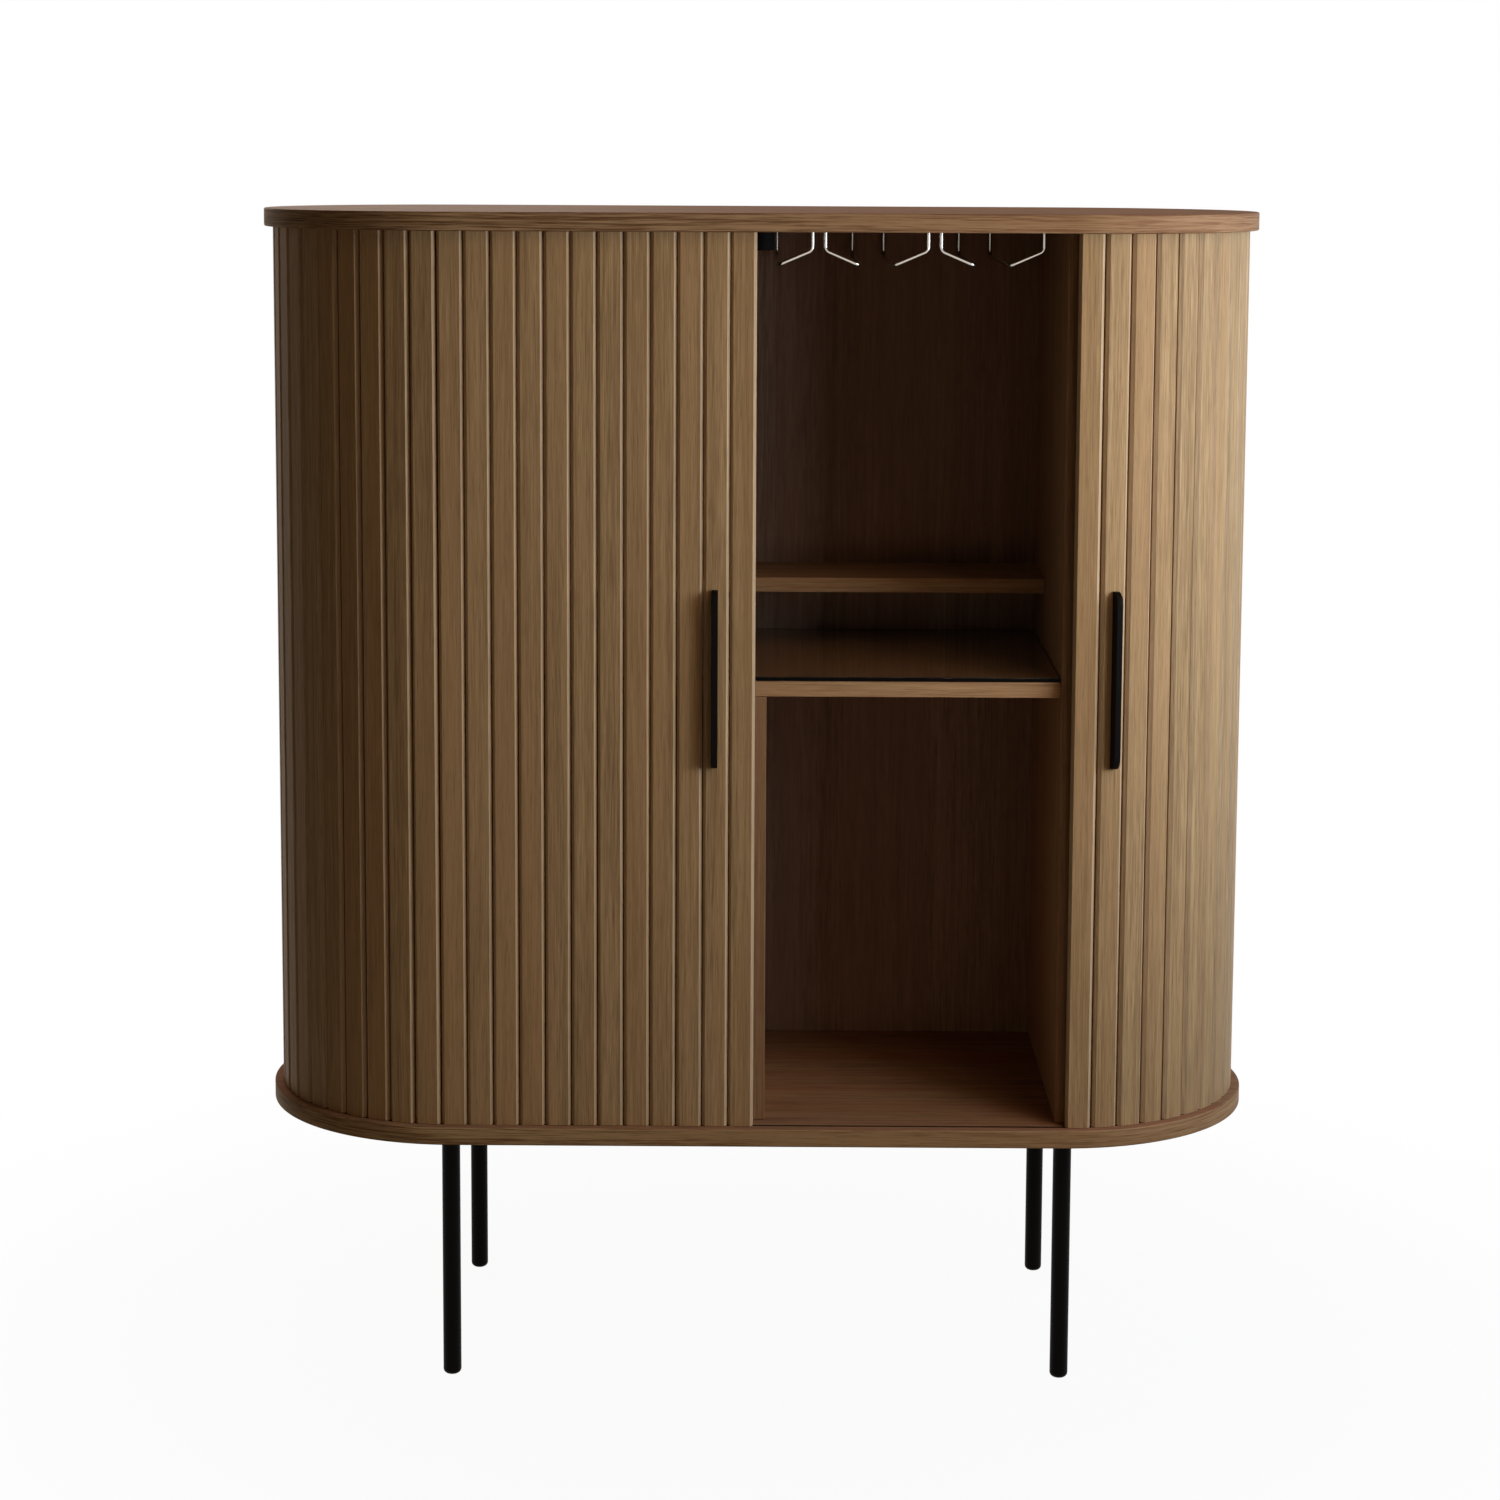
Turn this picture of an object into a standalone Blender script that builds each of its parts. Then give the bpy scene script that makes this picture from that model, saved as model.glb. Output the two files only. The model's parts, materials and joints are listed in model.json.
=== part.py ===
# Wine cabinet with two roll-front doors, in metres, +Z up.
# It stands on z = 0 with its front towards -Y. The origin is on the floor, under the middle of
# the whole object with its handles, so the carcass's own middle lies a little behind it.
# The left-hand door is drawn closed and the right-hand door open.
import math

import bmesh
import bpy
from mathutils import Matrix, Vector

# Carcass: two panels with half-round ends, held apart by the inner case
WIDTH = 1.000
DEPTH = 0.400
HEIGHT = 1.160
PANEL_THICKNESS = 0.018
PANEL_EDGE_ROUNDING = 0.0015
LEG_LENGTH = 0.247

# Roll-front doors: wooden slats glued to a canvas that bends at every slat
DOOR_INSET = 0.009
SLAT_PITCH = 0.0256
SLAT_GAP = 0.0020
SLAT_THICKNESS = 0.0075
SLAT_CHAMFER = 0.0018
CANVAS_THICKNESS = 0.0007
CANVAS_GAP = 0.0006
MEETING_GAP = 0.003
DOOR_END_CLEARANCE = 0.0004
GROOVE_WIDTH = 0.004
GROOVE_DEPTH = 0.005
TAIL_SECTION_SLATS = 2

# Handles: a flat bar that stands on edge on the second slat, with its front corners rounded off
HANDLE_LENGTH = 0.174
HANDLE_THICKNESS = 0.0062
HANDLE_DEPTH = 0.014
HANDLE_CORNER_RADIUS = 0.012
HANDLE_ROUNDING = 0.0006
HANDLE_HEIGHT = 0.4455
HANDLE_SHIFT = 0.0015

# Inner case: side boards, back panel, centre divider and shelves
BOARD_THICKNESS = 0.015
BOARD_ROUNDING = 0.0006
BACK_THICKNESS = 0.006
SIDE_SETBACK = 0.005
CASE_CLEARANCE = 0.011
SHELF_SETBACK = 0.005
LOWER_BAY_HEIGHT = 0.425
NARROW_BAY_HEIGHT = 0.061
UPPER_SHELF_DEPTH = 0.130
GLASS_THICKNESS = 0.004
GLASS_EDGE_MARGIN = 0.001
GLASS_ROUNDING = 0.0004

# Stemware rails: one bent wire each, with a slot for the stems between its two runs
WIRE_RADIUS = 0.002
WIRE_BEND_RADIUS = 0.006
RAIL_SPACING = 0.1125
RAIL_ARM_SPREAD = 0.100
RAIL_SLOT_SPREAD = 0.033
RAIL_ARM_DROP = 0.0190
RAIL_DROP = 0.0335
RAIL_LENGTH = 0.285
RAIL_FRONT_MARGIN = 0.042

# Round rubber buffer under the top panel where the doors meet
BUFFER_RADIUS = 0.013
BUFFER_HEIGHT = 0.018
BUFFER_ROUNDING = 0.002
BUFFER_FRONT_MARGIN = 0.004

# Legs: a round bar welded to a round plate
LEG_RADIUS = 0.009
LEG_FOOT_ROUNDING = 0.005
LEG_PLATE_RADIUS = 0.028
LEG_PLATE_THICKNESS = 0.0025
LEG_PLATE_ROUNDING = 0.0005
LEG_END_DISTANCE = 0.196
LEG_EDGE_DISTANCE = 0.040

# Gap left between pieces that touch on the real cabinet
SEAT_GAP = 0.0003

# Facets of round shapes, the angle past which an edge is sharp, and the span under which points
# are one
SHARP_ANGLE = math.radians(40)
MERGE_DISTANCE = 0.00001
PANEL_ARC_STEPS = 24
LEG_STEPS = 24
BUFFER_STEPS = 24
ROUNDING_STEPS = 2
HANDLE_CORNER_STEPS = 8
FOOT_STEPS = 3
WIRE_BEND_STEPS = 3
WIRE_BEVEL_RESOLUTION = 2

# Heights of the main levels
bottom_panel_low = LEG_LENGTH
case_low = bottom_panel_low + PANEL_THICKNESS
top_panel_low = HEIGHT - PANEL_THICKNESS
door_low = case_low + DOOR_END_CLEARANCE
door_high = top_panel_low - DOOR_END_CLEARANCE
middle_shelf_low = case_low + LOWER_BAY_HEIGHT
middle_shelf_high = middle_shelf_low + BOARD_THICKNESS
upper_shelf_low = middle_shelf_high + NARROW_BAY_HEIGHT

# Plan of the panels and of the track, which is the line of the canvas's inner face
straight = (WIDTH - DEPTH) / 2
door_thickness = CANVAS_THICKNESS + SLAT_THICKNESS
track_radius = DEPTH / 2 - DOOR_INSET - door_thickness
track_arc = math.pi * track_radius
groove_radius = track_radius + door_thickness / 2
slat_width = SLAT_PITCH - SLAT_GAP
travel = straight
handle_back = door_thickness + SEAT_GAP
handle_tip = handle_back + HANDLE_DEPTH
carcass_shift = (track_radius + handle_tip - DEPTH / 2) / 2

# Plan of the inner case
side_inner = straight - SIDE_SETBACK
side_outer = side_inner + BOARD_THICKNESS
case_front = CASE_CLEARANCE - track_radius
case_back = track_radius - CASE_CLEARANCE
back_panel_front = case_back - BACK_THICKNESS
board_back = back_panel_front - SEAT_GAP
shelf_front = case_front + SHELF_SETBACK

# Finishes: base colour, roughness, metallic, transmission
FINISHES = {
    "panel_veneer": ((0.118, 0.064, 0.036, 1.0), 0.45, 0.0, 0.0),
    "slat_veneer": ((0.178, 0.105, 0.060, 1.0), 0.50, 0.0, 0.0),
    "interior_veneer": ((0.050, 0.026, 0.016, 1.0), 0.50, 0.0, 0.0),
    "black_powder_coat": ((0.010, 0.010, 0.010, 1.0), 0.45, 0.0, 0.0),
    "chrome": ((0.640, 0.620, 0.600, 1.0), 0.15, 1.0, 0.0),
    "smoked_glass": ((0.030, 0.028, 0.026, 1.0), 0.05, 0.0, 0.6),
    "black_rubber": ((0.012, 0.012, 0.012, 1.0), 0.80, 0.0, 0.0),
}


for item in list(bpy.data.objects):
    bpy.data.objects.remove(item, do_unlink=True)

carcass_middle = bpy.data.objects.new("carcass_middle", None)
carcass_middle.location = (0, carcass_shift, 0)
bpy.context.scene.collection.objects.link(carcass_middle)


def put_in_carcass(piece):
    piece.parent = carcass_middle
    bpy.context.scene.collection.objects.link(piece)
    return piece


def own_material(name, finish):
    colour, roughness, metallic, transmission = FINISHES[finish]
    material = bpy.data.materials.new(f"{name}_{finish}")
    material.use_nodes = True
    shader = material.node_tree.nodes["Principled BSDF"]
    shader.inputs["Base Color"].default_value = colour
    shader.inputs["Roughness"].default_value = roughness
    shader.inputs["Metallic"].default_value = metallic
    shader.inputs["Transmission Weight"].default_value = transmission
    return material


def add_object(name, bm, finish, origin=Vector((0, 0, 0)), smooth=False):
    """Turns a bmesh in the carcass's frame into an object whose origin is at the given point."""
    bmesh.ops.recalc_face_normals(bm, faces=bm.faces)
    bmesh.ops.translate(bm, verts=bm.verts, vec=-origin)
    mesh = bpy.data.meshes.new(name)
    bm.to_mesh(mesh)
    bm.free()
    if smooth:
        mesh.shade_smooth()
        mesh.set_sharp_from_angle(angle=SHARP_ANGLE)
    piece = bpy.data.objects.new(name, mesh)
    piece.location = origin
    piece.data.materials.append(own_material(name, finish))
    return put_in_carcass(piece)


def extrude_by(bm, face, shift):
    grown = bmesh.ops.extrude_face_region(bm, geom=[face])["geom"]
    moved = [item for item in grown if isinstance(item, bmesh.types.BMVert)]
    bmesh.ops.translate(bm, verts=moved, vec=Vector(shift))


def bevel_edges(bm, edges, width, steps):
    bmesh.ops.bevel(
        bm, geom=edges, offset=width, segments=steps, profile=0.5, affect="EDGES", material=-1
    )


def board(name, low, high, finish, rounding, steps=1):
    """A rectangular board between two corners, with its edges eased."""
    bm = bmesh.new()
    size = high - low
    place = Matrix.Translation((low + high) / 2) @ Matrix.Diagonal((*size, 1))
    bmesh.ops.create_cube(bm, size=1, matrix=place)
    bevel_edges(bm, bm.edges[:], rounding, steps)
    return add_object(name, bm, finish)


# Top and bottom panels, each with the groove that guides the doors
def stadium_points(radius, z):
    """Outline with half-round ends: up the right-hand end, then down the left-hand one."""
    points = []
    for side in (1, -1):
        for step in range(PANEL_ARC_STEPS + 1):
            angle = math.pi * (step / PANEL_ARC_STEPS - 0.5)
            x = side * (straight + radius * math.cos(angle))
            points.append(Vector((x, side * radius * math.sin(angle), z)))
    return points


def stadium_panel(name, z_low, groove_on_top):
    bm = bmesh.new()
    outline = [bm.verts.new(point) for point in stadium_points(DEPTH / 2, z_low)]
    extrude_by(bm, bm.faces.new(outline), (0, 0, PANEL_THICKNESS))
    rim = [
        edge
        for edge in bm.edges
        if abs(edge.verts[0].co.z - edge.verts[1].co.z) < PANEL_THICKNESS / 2
    ]
    bevel_edges(bm, rim, PANEL_EDGE_ROUNDING, ROUNDING_STEPS)
    grooved_level = z_low + PANEL_THICKNESS if groove_on_top else z_low
    bm.faces.ensure_lookup_table()
    face = min(
        (item for item in bm.faces if len(item.verts) > 4),
        key=lambda item: abs(item.calc_center_median().z - grooved_level),
    )
    margin = DEPTH / 2 - PANEL_EDGE_ROUNDING - groove_radius - GROOVE_WIDTH / 2
    bmesh.ops.inset_region(bm, faces=[face], thickness=margin, use_even_offset=True)
    ring = bmesh.ops.inset_region(bm, faces=[face], thickness=GROOVE_WIDTH, use_even_offset=True)
    ring_edges = {edge for item in ring["faces"] for edge in item.edges}
    sunk = bmesh.ops.extrude_face_region(bm, geom=ring["faces"] + list(ring_edges))["geom"]
    sunk_verts = [item for item in sunk if isinstance(item, bmesh.types.BMVert)]
    drop = -GROOVE_DEPTH if groove_on_top else GROOVE_DEPTH
    bmesh.ops.translate(bm, verts=sunk_verts, vec=Vector((0, 0, drop)))
    return add_object(name, bm, "panel_veneer", smooth=True)


# Doors: places along the track, for the right-hand door; the left-hand one is its mirror image
def on_track(distance):
    """Place and turn of the canvas at a distance from the middle of the front."""
    if distance <= straight:
        return Vector((distance, -track_radius)), 0.0
    turn = (distance - straight) / track_radius
    if turn < math.pi:
        around = Vector((math.sin(turn), -math.cos(turn))) * track_radius
        return Vector((straight, 0)) + around, turn
    past = distance - straight - track_arc
    return Vector((straight - past, track_radius)), math.pi


def along(turn):
    return Vector((math.cos(turn), math.sin(turn)))


def outward(turn):
    return Vector((math.sin(turn), -math.cos(turn)))


def turned(vector, angle):
    return Matrix.Rotation(angle, 2) @ vector


def slat_distance(index, opened):
    return MEETING_GAP + SLAT_PITCH * (index + 0.5) + opened


def section_frame(indices, opened):
    """Mean place and mean turn of a run of slats when the door is open by a length."""
    places = [on_track(slat_distance(index, opened)) for index in indices]
    centre = sum((place for place, _ in places), Vector((0, 0))) / len(places)
    turn = sum(turn for _, turn in places) / len(places)
    return centre, turn


def section_shape(indices):
    """Each slat's place and turn in its section's own frame, halfway between closed and open."""
    shape = []
    for index in indices:
        offsets = []
        turns = []
        for opened in (0, travel):
            centre, turn = section_frame(indices, opened)
            place, slat_turn = on_track(slat_distance(index, opened))
            offsets.append(turned(place - centre, -turn))
            turns.append(slat_turn - turn)
        shape.append(((offsets[0] + offsets[1]) / 2, (turns[0] + turns[1]) / 2))
    return shape


def hinge_of(indices):
    """The point that a section turns about between closed and open, and the angle it turns."""
    start, start_turn = section_frame(indices, 0)
    end, end_turn = section_frame(indices, travel)
    angle = end_turn - start_turn
    spin = Matrix.Rotation(angle, 2)
    return (Matrix.Identity(2) - spin).inverted() @ (end - spin @ start), angle


def section_outline(places):
    """Plan outline of a run of slats on their canvas, from the slats' places and turns."""
    half = slat_width / 2
    canvas_half = (SLAT_PITCH - CANVAS_GAP) / 2
    outer = []
    inner = []
    for number, (place, turn) in enumerate(places):
        face = (
            (-half, CANVAS_THICKNESS),
            (-half, door_thickness - SLAT_CHAMFER),
            (SLAT_CHAMFER - half, door_thickness),
            (half - SLAT_CHAMFER, door_thickness),
            (half, door_thickness - SLAT_CHAMFER),
            (half, CANVAS_THICKNESS),
        )
        slat = [place + along(turn) * u + outward(turn) * v for u, v in face]
        if number == 0:
            start = place - along(turn) * canvas_half
            outer.append(start + outward(turn) * CANVAS_THICKNESS)
            inner.append(start)
        outer.extend(slat)
        if number == len(places) - 1:
            end = place + along(turn) * canvas_half
            outer.append(end + outward(turn) * CANVAS_THICKNESS)
            inner.append(end)
            continue
        next_place, next_turn = places[number + 1]
        joint = (
            place + along(turn) * SLAT_PITCH / 2 + next_place - along(next_turn) * SLAT_PITCH / 2
        ) / 2
        mean_turn = (turn + next_turn) / 2
        outer.append(joint + outward(mean_turn) * CANVAS_THICKNESS)
        inner.append(joint)
    return outer + inner[::-1]


def door_piece(name, side, places, origin):
    bm = bmesh.new()
    verts = [bm.verts.new((side * point.x, point.y, door_low)) for point in section_outline(places)]
    extrude_by(bm, bm.faces.new(verts), (0, 0, door_high - door_low))
    centre = Vector((side * origin.x, origin.y, door_low))
    return add_object(name, bm, "slat_veneer", centre)


def lead_place(opened):
    """The leading slat only slides, so it keeps the turn that is the mean of its two ends."""
    closed_place, closed_turn = section_frame([0], 0)
    open_place, open_turn = section_frame([0], travel)
    across = (closed_place.y + open_place.y) / 2
    return Vector((closed_place.x + opened, across)), (closed_turn + open_turn) / 2


def door_sections():
    """Names and slats of the door's pieces: single slats, the run round the end, and the tail.

    The tail holds whole sections only, so that its last piece is as wide as the others.
    """
    length = straight + track_arc - MEETING_GAP
    count = int(length / SLAT_PITCH)
    closed = [slat_distance(index, 0) for index in range(count)]
    arc_end = straight + track_arc
    singles = [index for index in range(1, count) if closed[index] < straight]
    bend = [
        index for index in range(count) if closed[index] >= straight and closed[index] + travel <= arc_end
    ]
    tail = [index for index in range(count) if index > max(singles + bend)]
    whole_tail = len(tail) // TAIL_SECTION_SLATS * TAIL_SECTION_SLATS
    sections = [(f"slat_{index + 1:02d}", [index]) for index in singles]
    sections.append(("end_section", bend))
    for number, first in enumerate(range(0, whole_tail, TAIL_SECTION_SLATS)):
        sections.append((f"tail_section_{number + 1}", tail[first : first + TAIL_SECTION_SLATS]))
    return sections


def build_door(hand, side, opened):
    place, turn = lead_place(opened)
    door_piece(f"{hand}_door_lead_slat", side, [(place, turn)], place)
    for label, indices in door_sections():
        centre, centre_turn = section_frame(indices, opened)
        places = [
            (centre + turned(offset, centre_turn), centre_turn + slat_turn)
            for offset, slat_turn in section_shape(indices)
        ]
        hinge, _ = hinge_of(indices)
        door_piece(f"{hand}_door_{label}", side, places, hinge)


# Handles
def build_handle(hand, side, opened):
    """Modelled at a right-hand slat's own middle, turned with the slat, then put in its place."""
    half = HANDLE_LENGTH / 2
    outline = [(-handle_back, -half), (-handle_back, half)]
    for corner, level in enumerate((half - HANDLE_CORNER_RADIUS, HANDLE_CORNER_RADIUS - half)):
        for step in range(HANDLE_CORNER_STEPS + 1):
            angle = math.pi / 2 * (corner + step / HANDLE_CORNER_STEPS)
            y = HANDLE_CORNER_RADIUS * (1 - math.sin(angle)) - handle_tip
            outline.append((y, level + HANDLE_CORNER_RADIUS * math.cos(angle)))
    bm = bmesh.new()
    verts = [bm.verts.new((-HANDLE_THICKNESS / 2, y, z)) for y, z in outline]
    extrude_by(bm, bm.faces.new(verts), (HANDLE_THICKNESS, 0, 0))
    rim = [
        edge
        for edge in bm.edges
        if abs(edge.verts[0].co.x - edge.verts[1].co.x) < HANDLE_THICKNESS / 2
    ]
    bevel_edges(bm, rim, HANDLE_ROUNDING, ROUNDING_STEPS)

    centre, turn = section_frame([1], opened)
    spot = centre + along(turn) * HANDLE_SHIFT
    middle = door_low + HANDLE_HEIGHT
    place = Matrix.Translation((side * spot.x, spot.y, middle)) @ Matrix.Rotation(side * turn, 4, "Z")
    bmesh.ops.transform(bm, matrix=place, verts=bm.verts)
    hinge, _ = hinge_of([1])
    origin = Vector((side * hinge.x, hinge.y, middle))
    add_object(f"{hand}_handle", bm, "black_powder_coat", origin, smooth=True)


# Inner case
def build_case():
    low = case_low + SEAT_GAP
    high = top_panel_low - SEAT_GAP
    for hand, side in (("left", -1), ("right", 1)):
        near = min(side * side_inner, side * side_outer)
        far = max(side * side_inner, side * side_outer)
        board(
            f"{hand}_side_board",
            Vector((near, case_front, low)),
            Vector((far, board_back, high)),
            "interior_veneer",
            BOARD_ROUNDING,
        )
    board(
        "back_panel",
        Vector((-side_outer, back_panel_front, low)),
        Vector((side_outer, case_back, high)),
        "interior_veneer",
        BOARD_ROUNDING,
    )
    board(
        "centre_divider",
        Vector((-BOARD_THICKNESS / 2, shelf_front, low)),
        Vector((BOARD_THICKNESS / 2, board_back, middle_shelf_low - SEAT_GAP)),
        "interior_veneer",
        BOARD_ROUNDING,
    )
    reach = side_inner - SEAT_GAP
    board(
        "middle_shelf",
        Vector((-reach, shelf_front, middle_shelf_low)),
        Vector((reach, board_back, middle_shelf_high)),
        "interior_veneer",
        BOARD_ROUNDING,
    )
    board(
        "upper_shelf",
        Vector((-reach, board_back - UPPER_SHELF_DEPTH, upper_shelf_low)),
        Vector((reach, board_back, upper_shelf_low + BOARD_THICKNESS)),
        "interior_veneer",
        BOARD_ROUNDING,
    )
    glass_reach = reach - GLASS_EDGE_MARGIN
    glass_low = middle_shelf_high + SEAT_GAP
    board(
        "glass_plate",
        Vector((-glass_reach, shelf_front + GLASS_EDGE_MARGIN, glass_low)),
        Vector((glass_reach, board_back - GLASS_EDGE_MARGIN, glass_low + GLASS_THICKNESS)),
        "smoked_glass",
        GLASS_ROUNDING,
    )


# Stemware rails
def rounded_path(corners, radius, steps):
    """A path through the corners, with each inner corner replaced by an arc."""
    path = [corners[0]]
    for before, corner, after in zip(corners, corners[1:], corners[2:]):
        back = (before - corner).normalized()
        ahead = (after - corner).normalized()
        half_angle = back.angle(ahead) / 2
        centre = corner + (back + ahead).normalized() * radius / math.sin(half_angle)
        start = corner + back * radius / math.tan(half_angle) - centre
        end = corner + ahead * radius / math.tan(half_angle) - centre
        for step in range(steps + 1):
            path.append(centre + start.slerp(end, step / steps).normalized() * radius)
    return path + [corners[-1]]


def build_rails():
    ceiling = top_panel_low - SEAT_GAP
    cross_level = ceiling - WIRE_RADIUS
    arm_level = top_panel_low - RAIL_ARM_DROP
    run_level = top_panel_low - RAIL_DROP
    front = case_front + RAIL_FRONT_MARGIN
    rear = front + RAIL_LENGTH
    arm = RAIL_ARM_SPREAD / 2
    slot = RAIL_SLOT_SPREAD / 2
    half_wire = [
        Vector((arm, front, ceiling)),
        Vector((arm, front, arm_level)),
        Vector((slot, front, run_level)),
        Vector((slot, rear, run_level)),
        Vector((slot, rear, cross_level)),
    ]
    corners = half_wire + [Vector((-point.x, point.y, point.z)) for point in reversed(half_wire)]
    path = rounded_path(corners, WIRE_BEND_RADIUS, WIRE_BEND_STEPS)
    count = int(2 * side_inner / RAIL_SPACING)
    for number in range(count):
        name = f"glass_rail_{number + 1}"
        middle = (number - (count - 1) / 2) * RAIL_SPACING
        curve = bpy.data.curves.new(name, "CURVE")
        curve.dimensions = "3D"
        curve.bevel_depth = WIRE_RADIUS
        curve.bevel_resolution = WIRE_BEVEL_RESOLUTION
        curve.use_fill_caps = True
        spline = curve.splines.new("POLY")
        spline.points.add(len(path) - 1)
        for point, target in zip(spline.points, path):
            point.co = (*target, 1)
        curve.materials.append(own_material(name, "chrome"))
        rail = bpy.data.objects.new(name, curve)
        rail.location = (middle, 0, 0)
        put_in_carcass(rail)


# Turned pieces
def turned_solid(name, profile, centre, steps, finish):
    """Spins a profile of radius and height, from axis to axis, about a vertical line."""
    bm = bmesh.new()
    verts = [bm.verts.new((centre.x + radius, centre.y, z)) for radius, z in profile]
    edges = [bm.edges.new(pair) for pair in zip(verts, verts[1:])]
    bmesh.ops.spin(
        bm,
        geom=verts + edges,
        cent=centre,
        axis=Vector((0, 0, 1)),
        angle=2 * math.pi,
        steps=steps,
        use_merge=True,
    )
    bmesh.ops.remove_doubles(bm, verts=bm.verts, dist=MERGE_DISTANCE)
    return add_object(name, bm, finish, Vector((centre.x, centre.y, 0)), smooth=True)


def rounded_foot(radius, z, rounding):
    """Profile points of the rounded lower edge of a round piece that stands on a level."""
    points = []
    for step in range(FOOT_STEPS + 1):
        angle = math.pi / 2 * step / FOOT_STEPS
        inward = rounding * (1 - math.sin(angle))
        upward = rounding * (1 - math.cos(angle))
        points.append((radius - inward, z + upward))
    return points


def build_legs():
    plate_high = bottom_panel_low - SEAT_GAP
    plate_low = plate_high - LEG_PLATE_THICKNESS
    profile = [(0, 0)]
    profile += rounded_foot(LEG_RADIUS, 0, LEG_FOOT_ROUNDING)
    profile += [(LEG_RADIUS, plate_low)]
    profile += [(LEG_PLATE_RADIUS - LEG_PLATE_ROUNDING, plate_low)]
    profile += [(LEG_PLATE_RADIUS, plate_low + LEG_PLATE_ROUNDING)]
    profile += [(LEG_PLATE_RADIUS, plate_high), (0, plate_high)]
    along_x = WIDTH / 2 - LEG_END_DISTANCE
    along_y = DEPTH / 2 - LEG_EDGE_DISTANCE
    for depth_name, y in (("front", -along_y), ("rear", along_y)):
        for hand, x in (("left", -along_x), ("right", along_x)):
            turned_solid(
                f"{depth_name}_{hand}_leg", profile, Vector((x, y, 0)), LEG_STEPS, "black_powder_coat"
            )


def build_buffer():
    high = top_panel_low - SEAT_GAP
    low = high - BUFFER_HEIGHT
    profile = [(0, low)]
    profile += rounded_foot(BUFFER_RADIUS, low, BUFFER_ROUNDING)
    profile += [(BUFFER_RADIUS, high), (0, high)]
    centre = Vector((0, case_front + BUFFER_FRONT_MARGIN + BUFFER_RADIUS, 0))
    turned_solid("door_buffer", profile, centre, BUFFER_STEPS, "black_rubber")


stadium_panel("top_panel", top_panel_low, groove_on_top=False)
stadium_panel("bottom_panel", bottom_panel_low, groove_on_top=True)
build_case()
build_door("left", -1, 0)
build_door("right", 1, travel)
build_handle("left", -1, 0)
build_handle("right", 1, travel)
build_rails()
build_buffer()
build_legs()
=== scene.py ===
# Wine cabinet with two roll-front doors: the finished look of every piece, in metres, +Z up.
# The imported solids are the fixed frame. Each piece is remade finely in the place of its solid and
# moves with the same body.
import json
import math
import random

import bmesh
import bpy
from mathutils import Matrix, Vector

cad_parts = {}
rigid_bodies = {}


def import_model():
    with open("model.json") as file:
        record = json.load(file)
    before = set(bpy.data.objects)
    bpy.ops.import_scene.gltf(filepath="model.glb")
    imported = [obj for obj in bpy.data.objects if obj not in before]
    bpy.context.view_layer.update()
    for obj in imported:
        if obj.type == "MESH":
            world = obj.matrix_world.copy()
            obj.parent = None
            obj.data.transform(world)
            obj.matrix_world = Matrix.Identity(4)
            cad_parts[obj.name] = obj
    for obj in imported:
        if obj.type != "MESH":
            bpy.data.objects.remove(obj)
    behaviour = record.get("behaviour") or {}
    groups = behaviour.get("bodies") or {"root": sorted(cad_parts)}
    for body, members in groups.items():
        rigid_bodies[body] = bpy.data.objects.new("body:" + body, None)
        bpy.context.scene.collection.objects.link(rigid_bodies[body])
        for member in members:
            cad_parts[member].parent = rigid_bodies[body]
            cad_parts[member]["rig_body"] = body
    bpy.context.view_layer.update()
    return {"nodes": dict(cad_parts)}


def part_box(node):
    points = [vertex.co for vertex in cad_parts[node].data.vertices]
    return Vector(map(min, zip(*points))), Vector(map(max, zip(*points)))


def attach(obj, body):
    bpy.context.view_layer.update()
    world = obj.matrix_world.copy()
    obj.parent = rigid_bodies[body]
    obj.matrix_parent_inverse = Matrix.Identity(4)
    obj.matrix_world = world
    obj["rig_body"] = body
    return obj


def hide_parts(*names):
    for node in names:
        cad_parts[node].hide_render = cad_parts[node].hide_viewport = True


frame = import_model()


# The view: a camera a little above the cabinet's top, looking slightly down on it. Its place and
# lens were solved from the cabinet's straight edges, its round ends and the spacing of its slats.
FRAME_PIXELS = 1500
SENSOR_WIDTH_MM = 36
FOCAL_PIXELS = 3310.5
# The lens's axis meets the frame in this row, above its middle, so the camera is shifted a little.
CENTRE_ROW = 560
CAMERA_PLACE = Vector((0.0039, -3.3542, 1.2209))
CAMERA_YAW = -0.0041
CAMERA_PITCH = 0.1237
CAMERA_ROLL = -0.0047

ahead = Vector(
    (
        math.sin(CAMERA_YAW) * math.cos(CAMERA_PITCH),
        math.cos(CAMERA_YAW) * math.cos(CAMERA_PITCH),
        -math.sin(CAMERA_PITCH),
    )
)
level = Vector((math.cos(CAMERA_YAW), -math.sin(CAMERA_YAW), 0))
down = ahead.cross(level)
across = math.cos(CAMERA_ROLL) * level + math.sin(CAMERA_ROLL) * down
drop = math.cos(CAMERA_ROLL) * down - math.sin(CAMERA_ROLL) * level
camera = bpy.data.objects.new("camera", bpy.data.cameras.new("camera"))
bpy.context.scene.collection.objects.link(camera)
camera.matrix_world = (
    Matrix.Translation(CAMERA_PLACE) @ Matrix((across, -drop, -ahead)).transposed().to_4x4()
)
camera.data.lens = SENSOR_WIDTH_MM * FOCAL_PIXELS / FRAME_PIXELS
camera.data.sensor_width = SENSOR_WIDTH_MM
camera.data.shift_y = (CENTRE_ROW - FRAME_PIXELS / 2) / FRAME_PIXELS
bpy.context.scene.camera = camera
bpy.context.scene.view_settings.view_transform = "Standard"


# The studio: a pale floor in a white surround. A window-like soft light stands close by, in front
# on the right. Broader ones fill in from the front, the right side, above and behind.
FLOOR_RADIUS = 60.0
FLOOR_STEPS = 96
FLOOR_COLOUR = "#96928c"
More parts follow.
